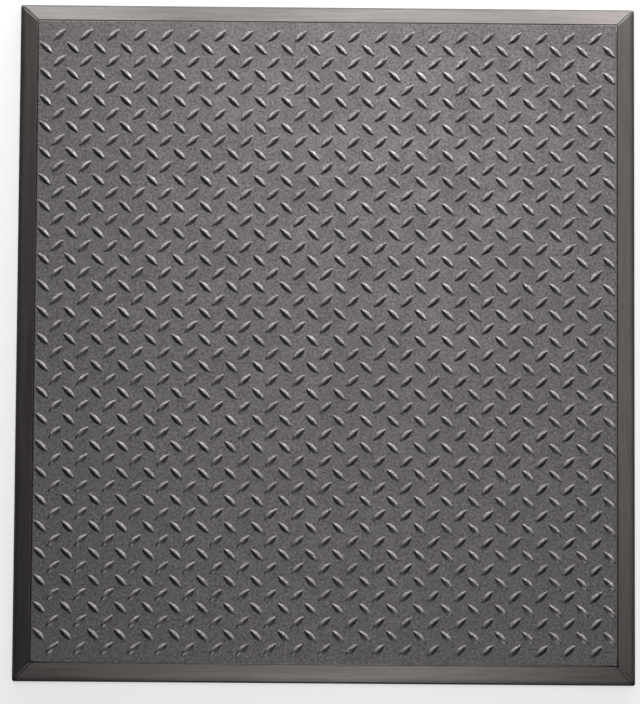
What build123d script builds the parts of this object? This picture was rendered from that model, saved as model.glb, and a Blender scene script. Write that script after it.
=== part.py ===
from build123d import *

import os

# Anti-fatigue mat: a diamond-plate tread sheet on a sponge core, framed by four mitred ramp strips.
#
# Millimetres. +Z is up and the floor is z = 0. The origin is the centre of the footprint, on the floor.
# X runs across the mat's width and Y along its length, with the front edge at -Y and the rear edge at +Y.
#
# The layers are a ribbed base sheet, a closed-cell sponge core and a rubber tread sheet. Each ramp strip is
# one extruded section: a slope from the toe up to the crest, a shelf one tread thickness below the crest
# that the tread sheet's edge is bonded to, and a thin flange that runs in under the core. The four strips
# meet at 45 degree mitres, and the base sheet fills the window that their flanges leave.

INCH = 25.4

# Footprint
WIDTH = 28 * INCH
LENGTH = 31 * INCH
CORNER_RADIUS = 3.0

# Layers, from the floor up
THICKNESS = INCH * 5 / 8
BASE_THICKNESS = INCH / 16
CORE_THICKNESS = INCH * 3 / 8
LUG_HEIGHT = 2.2
TREAD_THICKNESS = THICKNESS - BASE_THICKNESS - CORE_THICKNESS - LUG_HEIGHT

CORE_TOP = BASE_THICKNESS + CORE_THICKNESS
TREAD_TOP = CORE_TOP + TREAD_THICKNESS

# Ramp section: the distances run inwards from the mat's outer edge
TOE_HEIGHT = 3.5
TOE_RADIUS = 5.5
RAMP_RUN = 20.0
CREST_RADIUS = 0.6
SHELF_REACH = 8.0
FLANGE_REACH = 22.0

CORE_INSET = RAMP_RUN + SHELF_REACH
WINDOW_INSET = CORE_INSET + FLANGE_REACH

# Grip ribs on everything that meets the floor
RIB_PITCH = 4.0
GROOVE_WIDTH = 1.5
GROOVE_DEPTH = 0.6
FIRST_GROOVE = 6.0
SOLE_GROOVES = 11

# Trim clearance all round the base sheet
TRIM_GAP = 0.5

# Diamond-plate lugs: two sets on one square grid, turned 90 degrees to each other and half a pitch apart
LUG_PITCH = 31.0
LUG_LENGTH = 21.0
LUG_WIDTH = 7.4
LUG_FLANK_RUN = 2.4
LUG_ANGLE = 45
RISING_COLUMNS, RISING_ROWS = 21, 24
FALLING_COLUMNS, FALLING_ROWS = 22, 23


def ramp_section():
    """The section of a ramp strip, with the outer edge at x = 0, inwards along +x and up along +y."""
    outline = make_face(
        Polyline(
            (0, 0),
            (0, TOE_HEIGHT),
            (RAMP_RUN, TREAD_TOP),
            (RAMP_RUN, CORE_TOP),
            (CORE_INSET, CORE_TOP),
            (CORE_INSET, BASE_THICKNESS),
            (WINDOW_INSET, BASE_THICKNESS),
            (WINDOW_INSET, 0),
            close=True,
        )
    )
    toe = outline.vertices().sort_by_distance((0, TOE_HEIGHT))[0]
    outline = fillet(toe, TOE_RADIUS)
    crest = outline.vertices().sort_by_distance((RAMP_RUN, TREAD_TOP))[0]
    outline = fillet(crest, CREST_RADIUS)
    grooves = [
        Pos(FIRST_GROOVE + RIB_PITCH * i, GROOVE_DEPTH / 2) * Rectangle(GROOVE_WIDTH, GROOVE_DEPTH)
        for i in range(SOLE_GROOVES)
    ]
    return outline - grooves


def ramp_strip(side):
    """A mitred strip along X for a side of this length, from its outer edge on y = 0 inwards along +Y."""
    strip = extrude(Plane.YZ * ramp_section(), side / 2, both=True)
    plan = make_face(
        Polyline(
            (-side / 2, 0),
            (side / 2, 0),
            (side / 2 - WINDOW_INSET, WINDOW_INSET),
            (WINDOW_INSET - side / 2, WINDOW_INSET),
            close=True,
        )
    )
    return strip & extrude(plan, TREAD_TOP)


def placed_ramp(side, turn, x, y):
    """A ramp strip turned about Z and moved to its side, with the mat's outer corners rounded."""
    footprint = extrude(RectangleRounded(WIDTH, LENGTH, CORNER_RADIUS), TREAD_TOP)
    return (Pos(x, y) * Rot(Z=turn) * ramp_strip(side)) & footprint


def lug():
    """One diamond-plate lug along X on z = 0: a lens in plan whose flanks lean in to a narrow flat top."""
    flank_radius = (LUG_LENGTH**2 + LUG_WIDTH**2) / (4 * LUG_WIDTH)
    flank = Cone(
        flank_radius,
        flank_radius - LUG_FLANK_RUN,
        LUG_HEIGHT,
        align=(Align.CENTER, Align.CENTER, Align.MIN),
    )
    offset = flank_radius - LUG_WIDTH / 2
    return Pos(Y=offset) * flank & Pos(Y=-offset) * flank


def lug_grid(columns, rows, turn):
    """A block of equal lugs on the tread's grid, centred on the mat."""
    one = Rot(Z=turn) * lug()
    return [
        Pos((i - (columns - 1) / 2) * LUG_PITCH, (j - (rows - 1) / 2) * LUG_PITCH, TREAD_TOP) * one
        for i in range(columns)
        for j in range(rows)
    ]


def tread_sheet():
    """The rubber wear sheet, with its lugs moulded on."""
    sheet = Pos(Z=CORE_TOP) * Box(
        WIDTH - 2 * RAMP_RUN,
        LENGTH - 2 * RAMP_RUN,
        TREAD_THICKNESS,
        align=(Align.CENTER, Align.CENTER, Align.MIN),
    )
    rising = lug_grid(RISING_COLUMNS, RISING_ROWS, LUG_ANGLE)
    falling = lug_grid(FALLING_COLUMNS, FALLING_ROWS, -LUG_ANGLE)
    return sheet.fuse(*rising, *falling)


def foam_core():
    """The closed-cell sponge slab, inside the ramps' shelves and on their flanges."""
    return Pos(Z=BASE_THICKNESS) * Box(
        WIDTH - 2 * CORE_INSET,
        LENGTH - 2 * CORE_INSET,
        CORE_THICKNESS,
        align=(Align.CENTER, Align.CENTER, Align.MIN),
    )


def base_sheet():
    """The rubber base sheet in the window between the flanges, with grip ribs along Y underneath."""
    width = WIDTH - 2 * (WINDOW_INSET + TRIM_GAP)
    length = LENGTH - 2 * (WINDOW_INSET + TRIM_GAP)
    section = Pos(0, BASE_THICKNESS / 2) * Rectangle(width, BASE_THICKNESS)
    grooves_each_side = int((width / 2 - GROOVE_WIDTH) / RIB_PITCH)
    grooves = [
        Pos(side * (i + 0.5) * RIB_PITCH, GROOVE_DEPTH / 2) * Rectangle(GROOVE_WIDTH, GROOVE_DEPTH)
        for i in range(grooves_each_side)
        for side in (-1, 1)
    ]
    return extrude(Plane.XZ * (section - grooves), length / 2, both=True)


def main():
    parts = {
        "tread_sheet": tread_sheet(),
        "foam_core": foam_core(),
        "base_sheet": base_sheet(),
        "ramp_front": placed_ramp(WIDTH, 0, 0, -LENGTH / 2),
        "ramp_rear": placed_ramp(WIDTH, 180, 0, LENGTH / 2),
        "ramp_left": placed_ramp(LENGTH, -90, -WIDTH / 2, 0),
        "ramp_right": placed_ramp(LENGTH, 90, WIDTH / 2, 0),
    }
    os.makedirs("parts", exist_ok=True)
    for node, shape in parts.items():
        export_step(shape, f"parts/{node}.step")


main()
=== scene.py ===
import math

import bpy
from mathutils import Euler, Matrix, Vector


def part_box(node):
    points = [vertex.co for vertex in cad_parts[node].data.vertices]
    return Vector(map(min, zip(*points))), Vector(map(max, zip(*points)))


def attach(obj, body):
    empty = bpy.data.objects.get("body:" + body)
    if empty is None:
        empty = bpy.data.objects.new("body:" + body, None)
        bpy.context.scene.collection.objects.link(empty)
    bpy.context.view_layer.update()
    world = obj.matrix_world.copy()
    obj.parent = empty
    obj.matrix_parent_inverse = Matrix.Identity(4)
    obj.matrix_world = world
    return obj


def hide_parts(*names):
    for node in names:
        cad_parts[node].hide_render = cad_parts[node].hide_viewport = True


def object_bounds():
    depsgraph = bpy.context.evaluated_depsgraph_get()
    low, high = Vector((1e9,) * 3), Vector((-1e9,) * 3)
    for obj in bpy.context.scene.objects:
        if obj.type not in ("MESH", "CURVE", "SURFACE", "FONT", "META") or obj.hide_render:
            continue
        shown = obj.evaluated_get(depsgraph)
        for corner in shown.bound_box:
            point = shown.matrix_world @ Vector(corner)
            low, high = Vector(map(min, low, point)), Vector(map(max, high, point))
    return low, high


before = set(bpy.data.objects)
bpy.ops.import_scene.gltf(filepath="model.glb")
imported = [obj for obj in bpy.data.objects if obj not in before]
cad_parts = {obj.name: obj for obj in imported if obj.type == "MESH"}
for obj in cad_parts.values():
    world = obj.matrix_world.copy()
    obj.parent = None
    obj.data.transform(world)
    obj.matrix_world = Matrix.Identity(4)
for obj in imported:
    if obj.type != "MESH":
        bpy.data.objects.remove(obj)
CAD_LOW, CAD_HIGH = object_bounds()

# The anti-fatigue mat's looks, in metres, in the CAD frame: +X across the width, +Y to the rear, +Z up.
# Every CAD node is replaced by a finer mesh of the same piece, because the CAD solids have sharp edges.

MM = 0.001
CREASE = math.radians(38)
ROUND_DEGREES = (22, 45, 67, 90)
RELIEF = 0.12 * MM

TREAD_LOW, TREAD_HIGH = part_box("tread_sheet")
CORE_LOW, CORE_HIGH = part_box("foam_core")
BASE_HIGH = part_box("base_sheet")[1]

HALF_WIDTH = CAD_HIGH.x
HALF_LENGTH = CAD_HIGH.y
BASE_TOP = BASE_HIGH.z
CORE_TOP = CORE_HIGH.z
LUG_TOP = TREAD_HIGH.z

# Diamond-plate lugs. A lug's foot spreads a little way out over the plate, and its crest is the share of the
# way in over which the flank rounds over. The rings are the shares of the way in where its mesh has points.
LUG_PITCH = 31 * MM
LUG_LENGTH = 21.0 * MM
LUG_WIDTH = 7.4 * MM
LUG_HEIGHT = 2.2 * MM
LUG_FOOT = 0.15 * MM
LUG_CREST = 0.45
LUG_RINGS = (0.0, 0.1, 0.6, 0.82)
LUG_ANGLE = 45
ARC_STEPS = 11
RISING_COLUMNS, RISING_ROWS = 21, 24

TREAD_TOP = LUG_TOP - LUG_HEIGHT
TREAD_RIM = 2.0 * MM

# Ramp section: the distances run inwards from the mat's outer edge
RAMP_RUN = HALF_WIDTH - TREAD_HIGH.x
CORE_INSET = HALF_WIDTH - CORE_HIGH.x
RAMP_WIDTH = 50 * MM
TOE_HEIGHT = 3.5 * MM
TOE_RADIUS = 5.5 * MM
TOE_STEPS = 7
CREST_RADIUS = 0.4 * MM
CREST_STEPS = 5
SOLE_EDGE = 0.15 * MM
CORNER_RADIUS = 3.0 * MM
MITRE_RADIUS = 1.8 * MM
MITRE_GAP = 0.03 * MM
MITRE_SUPPORT = 0.5 * MM
MITRE_CLEAR = 6 * MM
RING_SPACING = 30 * MM

# Grip ribs underneath
RIB_PITCH = 4.0 * MM
GROOVE_WIDTH = 1.5 * MM
GROOVE_DEPTH = 0.6 * MM
GROOVE_EASE = 0.2 * MM
FIRST_GROOVE = 6.0 * MM
SOLE_GROOVES = 11

# Sponge core
CORE_EDGE = 0.8 * MM
CORE_GRID = 18 * MM
CORE_WAVE = 0.06 * MM

# Materials. A high refractive index evens out the sheen, so that the mat doesn't flash white when it is seen
# at a low angle. The toes' painted shade fades out between two heights over the floor: it makes the dark line
# along the toes by darkening the colour and gloss.
RUBBER_IOR = 2.7
TOE_PAINTED_SHADE_HEIGHTS = (3.4 * MM, 6.4 * MM)
TOE_PAINTED_SHADE = 0.08
NOISE_SPAN = (0.35, 0.65)
CLOUD_SCALE = 38.0
CLOUD_SPREAD = 0.25

# Studio: white floor, faint even world light, softboxes that all face the mat's centre, and the camera, which
# looks down from about 9 degrees in front of straight overhead
FLOOR_REACH = 60.0
FLOOR_DROP = 0.05 * MM
FLOOR_WHITE = 0.7
FLOOR_GLOW = 0.54
WORLD_LIGHT = 0.008
RAKE, BANK, CARD = (0.3, 0.2), (0.6, 0.6), (0.4, 0.4)
SOFTBOXES = (
    ("rear_left", (-1.8, 2.0, 0.5), RAKE, 10.5),
    ("rear_right", (2.0, 2.0, 0.5), RAKE, 10.5),
    ("rear_left_inner", (-1.1, 2.0, 0.5), RAKE, 4.5),
    ("right_low", (2.0, 1.3, 0.35), RAKE, 6.4),
    ("right_high", (2.0, 1.3, 1.3), RAKE, 3.6),
    ("near_right", (0.65, 1.3, 0.35), RAKE, 6.6),
    ("near_middle", (0.1, 1.3, 0.35), RAKE, 1.8),
    ("near_left", (-0.45, 1.3, 0.35), RAKE, 2.4),
    ("near_left_high", (-0.45, 1.3, 1.3), RAKE, 3.2),
    ("left", (-1.8, 1.3, 0.8), RAKE, 1.6),
    ("overhead_far", (0.1, 1.1, 2.2), BANK, 2.4),
    ("overhead_far_right", (0.9, 1.1, 2.2), BANK, 2.2),
    ("overhead_rear", (0.1, 0.6, 2.2), BANK, 2.4),
    ("overhead", (0.1, 0.1, 2.2), BANK, 1.9),
    ("overhead_low", (0.1, 0.6, 1.1), CARD, 0.8),
    ("right_side", (1.6, 0.1, 0.9), RAKE, 0.9),
    ("front_low", (0.04, -1.1, 0.35), CARD, 1.9),
    ("front_high", (0.0, -1.0, 1.8), CARD, 1.2),
)
CAMERA_LENS = 315.0
CAMERA_PLACE = (-0.092, -1.106, 7.001)
CAMERA_DEGREES = (8.886, -0.755, 0.3555)


def relief(x, y):
    """The slow rise and fall of a sheet that doesn't lie quite flat."""
    wave = math.sin(11.3 * x + 4.1 * y + 0.6) + 0.7 * math.sin(-7.9 * x + 13.7 * y + 2.1)
    return RELIEF * wave


def mesh_object(name, points, faces, material, normals=None):
    """A smooth-shaded mesh object with creases where its faces meet sharply."""
    mesh = bpy.data.meshes.new(name)
    mesh.from_pydata(points, [], faces)
    mesh.validate()
    for polygon in mesh.polygons:
        polygon.use_smooth = True
    mesh.set_sharp_from_angle(angle=CREASE)
    if normals is not None:
        mesh.normals_split_custom_set_from_vertices(normals)
    mesh.materials.append(material)
    piece = bpy.data.objects.new(name, mesh)
    bpy.context.scene.collection.objects.link(piece)
    return piece


def fit(piece, cad_node):
    """Hands a piece to the frame: it rides on the mat's one body and stands for a CAD node."""
    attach(piece, "root")
    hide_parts(cad_node)
    return piece


# ---------------------------------------------------------------- materials


def node(tree, kind, **inputs):
    """A shader node with some of its inputs set or linked."""
    made = tree.nodes.new(kind)
    for name, value in inputs.items():
        socket = made.inputs[name.replace("_", " ")]
        if isinstance(value, bpy.types.NodeSocket):
            tree.links.new(value, socket)
        else:
            socket.default_value = value
    return made


def noise(tree, place, scale, detail, roughness):
    """Fractal noise, from 0 to 1."""
    inputs = {"Scale": scale, "Detail": detail, "Roughness": roughness}
    return node(tree, "ShaderNodeTexNoise", Vector=place, **inputs).outputs["Fac"]


def ramp_between(tree, factor, stops):
    """A colour ramp over factor between two (position, colour) stops."""
    ramp = node(tree, "ShaderNodeValToRGB", Fac=factor)
    for element, (position, colour) in zip(ramp.color_ramp.elements, stops):
        element.position = position
        element.color = (*colour, 1.0)
    return ramp.outputs["Color"]


def spread_over(tree, factor, low, high, span=NOISE_SPAN):
    """A value that runs from low to high as factor runs over a span, by default where most noise lies."""
    inputs = {"From Min": span[0], "From Max": span[1], "To Min": low, "To Max": high}
    return node(tree, "ShaderNodeMapRange", Value=factor, **inputs).outputs["Result"]


def paint_toe_shade(tree, place, shade, shine):
    """Painted shade for a toe: a colour and a gloss that fade down within a few millimetres of the floor."""
    height = node(tree, "ShaderNodeSeparateXYZ", Vector=place).outputs["Z"]
    kept = spread_over(tree, height, TOE_PAINTED_SHADE, 1.0, TOE_PAINTED_SHADE_HEIGHTS)
    painted_shade_colour = node(tree, "ShaderNodeVectorMath", Vector=shade)
    painted_shade_colour.operation = "SCALE"
    tree.links.new(kept, painted_shade_colour.inputs["Scale"])
    painted_shade_gloss = tree.nodes.new("ShaderNodeMath")
    painted_shade_gloss.operation = "MULTIPLY"
    tree.links.new(shine, painted_shade_gloss.inputs[0])
    tree.links.new(kept, painted_shade_gloss.inputs[1])
    return painted_shade_colour.outputs["Vector"], painted_shade_gloss.outputs["Value"]


def rubber(
    name,
    colour,
    sheen,
    gloss,
    roughness,
    grain_size,
    grain_depth,
    stretch=(1, 1, 1),
    paints_toe_shade=False,
):
    """Moulded rubber or sponge: cloudy colour, speckled gloss and a fine pebbled grain, with a tinted sheen.

    stretch draws the cloud and the speckle out into streaks, and the last argument paints shade into the
    colour and gloss along the piece's lowest edge.
    """
    material = bpy.data.materials.new(name)
    material.use_nodes = True
    tree = material.node_tree
    tree.nodes.clear()
    place = tree.nodes.new("ShaderNodeTexCoord").outputs["Object"]
    mapping = node(tree, "ShaderNodeMapping", Vector=place)
    mapping.inputs["Scale"].default_value = stretch
    drawn = mapping.outputs["Vector"]
    cloud = noise(tree, drawn, scale=CLOUD_SCALE, detail=5.0, roughness=0.62)
    speckle = noise(tree, drawn, scale=0.5 / grain_size, detail=3.0, roughness=0.7)
    grain = noise(tree, place, scale=1 / grain_size, detail=3.0, roughness=0.6)
    dark = tuple(c * (1 - CLOUD_SPREAD) for c in colour)
    light = tuple(c * (1 + CLOUD_SPREAD) for c in colour)
    shade = ramp_between(tree, cloud, zip(NOISE_SPAN, (dark, light)))
    shine = spread_over(tree, speckle, *gloss)
    # Painted shade: the colour and gloss darken within a few millimetres of the floor, for the dark line
    # along the toe.
    if paints_toe_shade:
        shade, shine = paint_toe_shade(tree, place, shade, shine)
    bump = node(tree, "ShaderNodeBump", Height=grain, Distance=grain_depth, Strength=1.0)
    surface = node(
        tree,
        "ShaderNodeBsdfPrincipled",
        Base_Color=shade,
        Roughness=spread_over(tree, cloud, *roughness),
        IOR=RUBBER_IOR,
        Specular_IOR_Level=shine,
        Specular_Tint=(*sheen, 1.0),
        Normal=bump.outputs["Normal"],
    )
    output = tree.nodes.new("ShaderNodeOutputMaterial")
    tree.links.new(surface.outputs["BSDF"], output.inputs["Surface"])
    return material


def ramp_rubber(name, along_x, paints_toe_shade):
    """The ramps' smoother rubber, with faint streaks along the strip, and painted shade along the toe when
    asked.
    """
    squeeze = 0.06
    stretch = (squeeze, 1.0, 1.0) if along_x else (1.0, squeeze, 1.0)
    return rubber(
        name,
        colour=(0.0150, 0.0132, 0.0125),
        sheen=(1.0, 0.92, 0.88),
        gloss=(0.38, 0.49),
        roughness=(0.40, 0.48),
        grain_size=2.2 * MM,
        grain_depth=0.02 * MM,
        stretch=stretch,
        paints_toe_shade=paints_toe_shade,
    )


def floor_paint():
    """Plain matte white that glows a little, for the studio floor."""
    material = bpy.data.materials.new("floor_paint")
    material.use_nodes = True
    surface = material.node_tree.nodes["Principled BSDF"]
    surface.inputs["Base Color"].default_value = (FLOOR_WHITE, FLOOR_WHITE, FLOOR_WHITE, 1.0)
    surface.inputs["Emission Color"].default_value = (1.0, 1.0, 1.0, 1.0)
    surface.inputs["Emission Strength"].default_value = FLOOR_GLOW
    surface.inputs["Roughness"].default_value = 0.9
    surface.inputs["Specular IOR Level"].default_value = 0.1
    return material


# ---------------------------------------------------------------- tread sheet


def lug_rise(reach):
    """A lug's height at this share of the way in: an even flank that rounds over into the crest."""
    even = 1 - LUG_CREST / 2
    if reach < 1 - LUG_CREST:
        return LUG_HEIGHT * reach / even
    return LUG_HEIGHT * (1 - (1 - min(1.0, reach)) ** 2 / (2 * LUG_CREST * even))


def lug_slope(reach):
    """How steep a lug is at this share of the way in. At its foot it counts as level, like the plate."""
    if reach == 0:
        return 0.0
    step = 1e-4
    return (lug_rise(reach + step) - lug_rise(reach)) / (step * (LUG_WIDTH / 2 + LUG_FOOT))


def turned(v, turn):
    """A plan vector turned about Z."""
    cosine, sine = math.cos(turn), math.sin(turn)
    return Vector((v.x * cosine - v.y * sine, v.x * sine + v.y * cosine))


def lug_ring(reach, turn):
    """Points and outward directions round a lug, this share of the way in from its foot."""
    flank_radius = (LUG_LENGTH**2 + LUG_WIDTH**2) / (4 * LUG_WIDTH)
    offset = flank_radius - LUG_WIDTH / 2
    inset = reach * (LUG_WIDTH / 2 + LUG_FOOT) - LUG_FOOT
    radius = flank_radius - inset
    half_angle = math.acos(offset / radius)
    ring = []
    for side in (1, -1):
        for step in range(ARC_STEPS):
            angle = side * half_angle * (1 - 2 * step / ARC_STEPS)
            across, up = side * math.sin(side * angle), math.cos(angle)
            point = Vector((radius * across, side * (radius * up - offset)))
            outward = Vector((across, side * up)) if step else Vector((side, 0))
            ring.append((turned(point, turn), turned(outward, turn)))
    return ring


def clipped(polygon, half_x, half_y):
    """A convex polygon cut off at a rectangle round the origin."""
    for axis, side, limit in ((0, 1, half_x), (0, -1, half_x), (1, 1, half_y), (1, -1, half_y)):
        kept = []
        for here, after in zip(polygon, polygon[1:] + polygon[:1]):
            inside_here = here[axis] * side <= limit
            inside_after = after[axis] * side <= limit
            if inside_here:
                kept.append(here)
            if inside_here != inside_after:
                share = (side * limit - here[axis]) / (after[axis] - here[axis])
                cut = [h + (a - h) * share for h, a in zip(here, after)]
                cut[axis] = side * limit
                kept.append(tuple(cut))
        polygon = kept
    return polygon


def stitch(inner, outer, where):
    """Triangles between two anticlockwise loops of vertex numbers, one inside the other."""

    def gap(i, j):
        near, far = where[inner[i % len(inner)]], where[outer[j % len(outer)]]
        return math.hypot(near[0] - far[0], near[1] - far[1])

    def sees(i, j):
        """Whether outer point j is in front of the inner loop's edge from i to the next point."""
        here, ahead = where[inner[i % len(inner)]], where[inner[(i + 1) % len(inner)]]
        far = where[outer[j % len(outer)]]
        return (far[0] - here[0]) * (ahead[1] - here[1]) > (far[1] - here[1]) * (ahead[0] - here[0])

    first = min(range(len(outer)), key=lambda j: gap(0, j))
    outer = outer[first:] + outer[:first]
    triangles = []
    i = j = 0
    while i < len(inner) or j < len(outer):
        can_inner = i < len(inner) and (j == len(outer) or sees(i, j))
        can_outer = j < len(outer) and (i == len(inner) or sees(i, j + 1))
        step_inner = can_inner and not (can_outer and gap(i, j + 1) < gap(i + 1, j))
        near, far = inner[i % len(inner)], outer[j % len(outer)]
        if step_inner:
            i += 1
            triangles.append((near, far, inner[i % len(inner)]))
        else:
            j += 1
            triangles.append((near, far, outer[j % len(outer)]))
    return triangles


class Sheet:
    """The tread sheet's top as it grows, cell by cell."""

    def __init__(self):
        self.points = []
        self.normals = []
        self.faces = []
        self.shared = {}

    def add(self, x, y, height=0.0, lean=(0.0, 0.0)):
        """A new vertex at this height over the plate, whose normal leans outwards by this slope."""
        self.points.append((x, y, TREAD_TOP + relief(x, y) + height))
        self.normals.append(Vector((lean[0], lean[1], 1.0)).normalized())
        return len(self.points) - 1

    def corner(self, x, y):
        """The vertex at a point that neighbouring cells share."""
        key = (round(x / MM, 3), round(y / MM, 3))
        if key not in self.shared:
            self.shared[key] = self.add(x, y)
        return self.shared[key]

    def add_lug(self, centre, turn, border):
        """A lug and the flat plate round it, out to the cell's border."""
        rings = []
        for reach in LUG_RINGS:
            height, slope = lug_rise(reach), lug_slope(reach)
            ring = lug_ring(reach, turn)
            rings.append([self.add(centre[0] + p.x, centre[1] + p.y, height, out * slope) for p, out in ring])
        crest = self.add(*centre, LUG_HEIGHT)
        self.faces += stitch(rings[0], border, self.points)
        for low, high in zip(rings, rings[1:]):
            count = len(low)
            self.faces += [(low[k - 1], low[k], high[k], high[k - 1]) for k in range(count)]
        self.faces += [(rings[-1][k - 1], rings[-1][k], crest) for k in range(len(rings[-1]))]


def tread_sheet(material):
    """The wear sheet: a plate with a rounded rim and rows of lens-shaped lugs, turned 45 degrees each way.

    It is made of diamond cells, one round each lug, and plain ones along the edge. u and v count half
    pitches to the right and to the front, from the left rear lug of the set that rises to the right.
    """
    sheet = Sheet()
    half = LUG_PITCH / 2
    flat_x, flat_y = TREAD_HIGH.x - TREAD_RIM, TREAD_HIGH.y - TREAD_RIM
    last_u, last_v = 2 * (RISING_COLUMNS - 1), 2 * (RISING_ROWS - 1)
    for u in range(-2, last_u + 3):
        for v in range(-2, last_v + 3):
            if u % 2 != v % 2:
                continue
            centre = ((u - last_u / 2) * half, (last_v / 2 - v) * half)
            corners = ((1, 0), (0, 1), (-1, 0), (0, -1))
            diamond = [(centre[0] + dx * half, centre[1] + dy * half) for dx, dy in corners]
            polygon = clipped(diamond, flat_x, flat_y)
            if len(polygon) < 3:
                continue
            border = list(dict.fromkeys(sheet.corner(*p) for p in polygon))
            if len(border) < 3:
                continue
            rising = u % 2 == 0 and 0 <= u <= last_u and 0 <= v <= last_v
            falling = u % 2 == 1 and -1 <= u <= last_u + 1 and 1 <= v <= last_v - 1
            if rising or falling:
                sheet.add_lug(centre, math.radians(LUG_ANGLE if rising else -LUG_ANGLE), border)
            else:
                sheet.faces.append(border)
    close_rim(sheet, flat_x, flat_y)
    return mesh_object("tread", sheet.points, sheet.faces, material, sheet.normals)


def rim_way(point, flat_x, flat_y):
    """Which way the plate ends at a point: 1 or -1 on each axis where it is at the edge, otherwise 0."""
    touch = 0.001 * MM
    halves = zip(point, (flat_x, flat_y))
    return Vector([math.copysign(abs(abs(value) - half) < touch, value) for value, half in halves])


def close_rim(sheet, flat_x, flat_y):
    """Rounds the plate's rim over, runs its sides down and closes it underneath."""
    edge = [i for i in sheet.shared.values() if any(rim_way(sheet.points[i], flat_x, flat_y))]
    edge.sort(key=lambda i: math.atan2(sheet.points[i][1], sheet.points[i][0]))
    start = [sheet.points[i] for i in edge]
    ways = [rim_way(point, flat_x, flat_y) for point in start]
    loop = edge
    for degrees in (*ROUND_DEGREES, None):
        lean = math.radians(degrees or 90)
        out = TREAD_RIM * math.sin(lean)
        down = TREAD_RIM * (1 - math.cos(lean))
        new = []
        for (x, y, z), way in zip(start, ways):
            sheet.points.append((x + way.x * out, y + way.y * out, z - down if degrees else TREAD_LOW.z))
            side = way * math.sin(lean)
            sheet.normals.append(Vector((side.x, side.y, math.cos(lean))).normalized())
            new.append(len(sheet.points) - 1)
        sheet.faces += [(loop[k - 1], new[k - 1], new[k], loop[k]) for k in range(len(loop))]
        loop = new
    sheet.faces.append(loop[::-1])


# ---------------------------------------------------------------- ramp strips and base sheet


def tube_faces(width, count):
    """The faces of a tube through this many rings of this many points, with both its ends closed."""
    faces = []
    for r in range(count - 1):
        for k in range(width):
            after = (k + 1) % width
            faces.append((r * width + k, (r + 1) * width + k, (r + 1) * width + after, r * width + after))
    faces.append(tuple(range(width)))
    faces.append(tuple((count - 1) * width + k for k in reversed(range(width))))
    return faces


def arc(centre, radius, start, end, steps):
    """Points round an arc in the section, from start to end degrees."""
    angles = [math.radians(start + (end - start) * k / steps) for k in range(steps + 1)]
    return [(centre[0] + radius * math.cos(a), centre[1] + radius * math.sin(a)) for a in angles]


def ramp_section():
    """The ramp's section, clockwise from the toe, as points of (inwards, up, outward normal).

    The normal is zero below the crest, where the section isn't drawn in at the mitres.
    """
    slope = math.atan2(TREAD_TOP - TOE_HEIGHT, RAMP_RUN)
    slope_degrees = math.degrees(slope)
    run = Vector((math.cos(slope), math.sin(slope)))
    up = Vector((-math.sin(slope), math.cos(slope)))
    toe_tangent = TOE_RADIUS * math.tan((math.pi / 2 - slope) / 2)
    toe_centre = (TOE_RADIUS, TOE_HEIGHT - toe_tangent)
    toe = arc(toe_centre, TOE_RADIUS, 180, 90 + slope_degrees, TOE_STEPS)
    crest_tangent = CREST_RADIUS * math.tan((math.pi / 2 + slope) / 2)
    crest_centre = (RAMP_RUN - CREST_RADIUS, TREAD_TOP - crest_tangent)
    crest = arc(crest_centre, CREST_RADIUS, 90 + slope_degrees, 0, CREST_STEPS)
    support = 0.4 * MM
    after_toe = Vector(toe[-1]) + run * support
    before_crest = Vector(crest[0]) - run * support
    top = toe + [tuple(after_toe), tuple(before_crest)] + crest
    inner = [
        (RAMP_RUN, CORE_TOP),
        (CORE_INSET, CORE_TOP),
        (CORE_INSET, BASE_TOP),
        (RAMP_WIDTH, BASE_TOP),
        (RAMP_WIDTH, 0.0),
    ]
    sole = []
    for k in reversed(range(SOLE_GROOVES)):
        middle = FIRST_GROOVE + RIB_PITCH * k
        near, far = middle - GROOVE_WIDTH / 2, middle + GROOVE_WIDTH / 2
        sole += [(far, 0.0), (far, GROOVE_DEPTH), (near, GROOVE_DEPTH), (near, 0.0)]
    sole += [(SOLE_EDGE, 0.0), (0.0, SOLE_EDGE)]
    normals = [(Vector(point) - Vector(toe_centre)).normalized() for point in toe]
    normals += [up, up]
    normals += [(Vector(point) - Vector(crest_centre)).normalized() for point in crest]
    normals += [Vector((0, 0))] * (len(inner) + len(sole))
    return [(*point, normal) for point, normal in zip(top + inner + sole, normals)]


def corner_rounded(place, inwards, half_side):
    """A point (along a side, in from its edge), drawn in where it is outside the mat's rounded corner."""
    over = abs(place) - (half_side - CORNER_RADIUS)
    if over <= 0 or inwards >= CORNER_RADIUS:
        return place, inwards
    reach = math.hypot(over, CORNER_RADIUS - inwards)
    if reach <= CORNER_RADIUS:
        return place, inwards
    place = math.copysign(half_side - CORNER_RADIUS + over * CORNER_RADIUS / reach, place)
    return place, CORNER_RADIUS - (CORNER_RADIUS - inwards) * CORNER_RADIUS / reach


def straight_ring(section, place):
    """A ring across a ramp strip, as points of (along the side, in from its edge, up)."""
    return [(place, inwards, height) for inwards, height, normal in section]


def mitre_ring(section, half_side, back, sink, end):
    """A ring along the mitre at one end, 1 or -1, this far back from it and this far below the surface."""
    ring = []
    for inwards, height, normal in section:
        place = end * (half_side - inwards - back)
        rounded = corner_rounded(place, inwards - normal.x * sink, half_side)
        ring.append((*rounded, height - normal.y * sink))
    return ring


def on_side(side, place, inwards):
    """The plan position of a point this far along one side of the mat and this far in from its edge."""
    return {
        "front": (place, inwards - HALF_LENGTH),
        "rear": (-place, HALF_LENGTH - inwards),
        "left": (inwards - HALF_WIDTH, -place),
        "right": (HALF_WIDTH - inwards, place),
    }[side]


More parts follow.
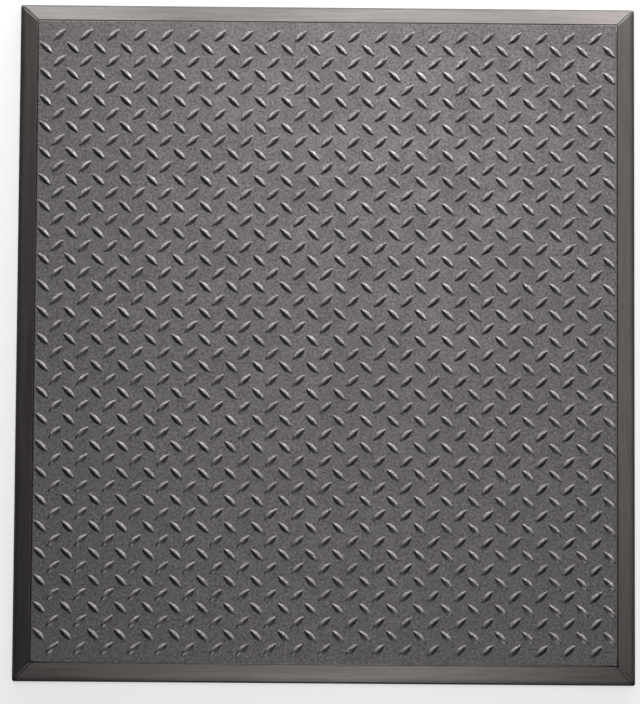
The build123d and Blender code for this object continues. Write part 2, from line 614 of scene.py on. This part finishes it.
def ramp_strip(name, side, material):
    """A mitred ramp strip whose ends are rounded over into the mitres."""
    half_side = HALF_WIDTH if side in ("front", "rear") else HALF_LENGTH
    section = ramp_section()
    shoulder = []
    for degrees in (0, *ROUND_DEGREES):
        a = math.radians(degrees)
        back = MITRE_RADIUS * (1 - math.cos(a)) * math.sqrt(2)
        sink = MITRE_RADIUS * (1 - math.sin(a))
        shoulder.append((MITRE_GAP + back, sink))
    shoulder.append((MITRE_GAP + (MITRE_RADIUS + MITRE_SUPPORT) * math.sqrt(2), 0.0))
    middle = half_side - RAMP_WIDTH - MITRE_CLEAR
    count = round(2 * middle / RING_SPACING)
    rings = [mitre_ring(section, half_side, back, sink, -1) for back, sink in shoulder]
    rings += [straight_ring(section, middle * (2 * k / count - 1)) for k in range(count + 1)]
    rings += [mitre_ring(section, half_side, back, sink, 1) for back, sink in reversed(shoulder)]
    points = []
    for ring in rings:
        for place, inwards, height in ring:
            x, y = on_side(side, place, inwards)
            share = max(0.0, min(1.0, (height - CORE_TOP) / (TREAD_TOP - CORE_TOP)))
            points.append((x, y, height + relief(x, y) * share))
    return mesh_object(name, points, tube_faces(len(section), len(rings)), material)


def base_sheet(material):
    """The base sheet, with eased grip ribs along its length underneath."""
    half_x, half_y = BASE_HIGH.x, BASE_HIGH.y
    ease = GROOVE_EASE
    profile = [(half_x, BASE_TOP), (-half_x, BASE_TOP), (-half_x, ease), (ease - half_x, 0.0)]
    count = int((half_x - GROOVE_WIDTH) / RIB_PITCH)
    for k in range(-count, count):
        middle = (k + 0.5) * RIB_PITCH
        near, far = middle - GROOVE_WIDTH / 2, middle + GROOVE_WIDTH / 2
        profile += [
            (near - ease, 0.0),
            (near, ease),
            (near + ease, GROOVE_DEPTH),
            (far - ease, GROOVE_DEPTH),
            (far, ease),
            (far + ease, 0.0),
        ]
    profile += [(half_x - ease, 0.0), (half_x, ease)]
    ends = (-half_y, -half_y + ease, half_y - ease, half_y)
    points = []
    for y in ends:
        lift = ease if abs(y) == half_y else 0.0
        points += [(x, y, max(z, lift)) for x, z in profile]
    return mesh_object("base", points, tube_faces(len(profile), len(ends)), material)


# ---------------------------------------------------------------- sponge core


def grid_slab(name, low, high, edge, spacing, material, wave):
    """A slab with rounded edges, whose faces are grids that a small wave can move."""
    half_x, half_y = (high.x - low.x) / 2, (high.y - low.y) / 2
    middle = (low + high) / 2
    columns = round(2 * half_x / spacing)
    rows = round(2 * half_y / spacing)
    angles = [math.radians(d) for d in (0, 30, 60, 90)]

    def lines(half, count):
        inner = [half * (2 * k / count - 1) for k in range(1, count)]
        rounds = [half - edge * (1 - math.sin(a)) for a in angles]
        return [-r for r in reversed(rounds)] + inner + rounds

    xs, ys = lines(half_x, columns), lines(half_y, rows)

    def drop(value, half):
        into = max(0.0, abs(value) - (half - edge)) / edge
        return edge * (1 - math.sqrt(max(0.0, 1 - into * into)))

    width, depth = len(xs), len(ys)
    points, faces = [], []
    for face, level in ((1, high.z), (-1, low.z)):
        start = len(points)
        for y in ys:
            for x in xs:
                sink = max(drop(x, half_x), drop(y, half_y))
                points.append((middle.x + x, middle.y + y, level - face * (sink + wave(x, y))))
        for j in range(depth - 1):
            for i in range(width - 1):
                a = start + j * width + i
                quad = (a, a + 1, a + width + 1, a + width)
                faces.append(quad if face == 1 else quad[::-1])
    border = list(range(width))
    border += [j * width + width - 1 for j in range(1, depth)]
    border += [(depth - 1) * width + i for i in reversed(range(width - 1))]
    border += [j * width for j in reversed(range(1, depth - 1))]
    lower = width * depth
    for here, after in zip(border, border[1:] + border[:1]):
        faces.append((here, here + lower, after + lower, after))
    return mesh_object(name, points, faces, material)


def foam_core(material):
    """The sponge slab, with a slight wave in its faces."""

    def wave(x, y):
        return CORE_WAVE * (1 + math.sin(90 * x + 0.3) * math.sin(80 * y + 1.1))

    return grid_slab("sponge_core", CORE_LOW, CORE_HIGH, CORE_EDGE, CORE_GRID, material, wave)


# ---------------------------------------------------------------- studio


def studio_floor():
    """A plain white floor, far larger than any view of it."""
    corners = [(x * FLOOR_REACH, y * FLOOR_REACH, 0) for x, y in ((-1, -1), (1, -1), (1, 1), (-1, 1))]
    floor = mesh_object("floor", corners, [(0, 1, 2, 3)], floor_paint())
    floor.location.z = -FLOOR_DROP


def softbox(name, place, size, power):
    """A rectangular area light that faces the mat's centre and that the camera doesn't see."""
    data = bpy.data.lights.new(name, "AREA")
    data.shape = "RECTANGLE"
    data.size, data.size_y = size
    data.energy = power
    lamp = bpy.data.objects.new(name, data)
    lamp.location = place
    lamp.rotation_euler = Vector(place).to_track_quat("Z", "Y").to_euler()
    lamp.visible_camera = False
    bpy.context.scene.collection.objects.link(lamp)


def studio():
    """The floor, a faint even light all round, the softboxes and the camera."""
    scene = bpy.context.scene
    studio_floor()
    world = bpy.data.worlds.new("studio_world")
    world.use_nodes = True
    background = world.node_tree.nodes["Background"]
    background.inputs["Color"].default_value = (1.0, 1.0, 1.0, 1.0)
    background.inputs["Strength"].default_value = WORLD_LIGHT
    scene.world = world
    for name, place, size, power in SOFTBOXES:
        softbox(name, place, size, power)
    data = bpy.data.cameras.new("camera")
    data.lens = CAMERA_LENS
    data.clip_start, data.clip_end = 0.1, 200.0
    camera = bpy.data.objects.new("camera", data)
    camera.location = CAMERA_PLACE
    camera.rotation_euler = Euler([math.radians(angle) for angle in CAMERA_DEGREES])
    scene.collection.objects.link(camera)
    scene.camera = camera
    scene.view_settings.view_transform = "Standard"


def main():
    tread_rubber = rubber(
        "tread_rubber",
        colour=(0.0060, 0.0054, 0.0056),
        sheen=(1.0, 0.94, 0.945),
        gloss=(0.27, 0.64),
        roughness=(0.41, 0.49),
        grain_size=1.4 * MM,
        grain_depth=0.05 * MM,
    )
    sponge = rubber(
        "core_sponge",
        colour=(0.070, 0.070, 0.072),
        sheen=(1.0, 1.0, 1.0),
        gloss=(0.03, 0.08),
        roughness=(0.8, 0.95),
        grain_size=0.8 * MM,
        grain_depth=0.25 * MM,
    )
    base_rubber = rubber(
        "base_rubber",
        colour=(0.035, 0.034, 0.034),
        sheen=(1.0, 0.96, 0.95),
        gloss=(0.08, 0.14),
        roughness=(0.55, 0.7),
        grain_size=1.1 * MM,
        grain_depth=0.04 * MM,
    )
    # The front and side ramps have painted shade along their toes; the rear ramp, lit by the rear softboxes,
    # has the same rubber without it.
    streaked_across = ramp_rubber("ramp_rubber_front_painted_toe_shade", along_x=True, paints_toe_shade=True)
    streaked_along = ramp_rubber("ramp_rubber_sides_painted_toe_shade", along_x=False, paints_toe_shade=True)
    streaked_rear = ramp_rubber("ramp_rubber_rear", along_x=True, paints_toe_shade=False)

    fit(tread_sheet(tread_rubber), "tread_sheet")
    fit(ramp_strip("front_ramp", "front", streaked_across), "ramp_front")
    fit(ramp_strip("rear_ramp", "rear", streaked_rear), "ramp_rear")
    fit(ramp_strip("left_ramp", "left", streaked_along), "ramp_left")
    fit(ramp_strip("right_ramp", "right", streaked_along), "ramp_right")
    fit(base_sheet(base_rubber), "base_sheet")
    core = fit(foam_core(sponge), "foam_core")

    studio()


main()
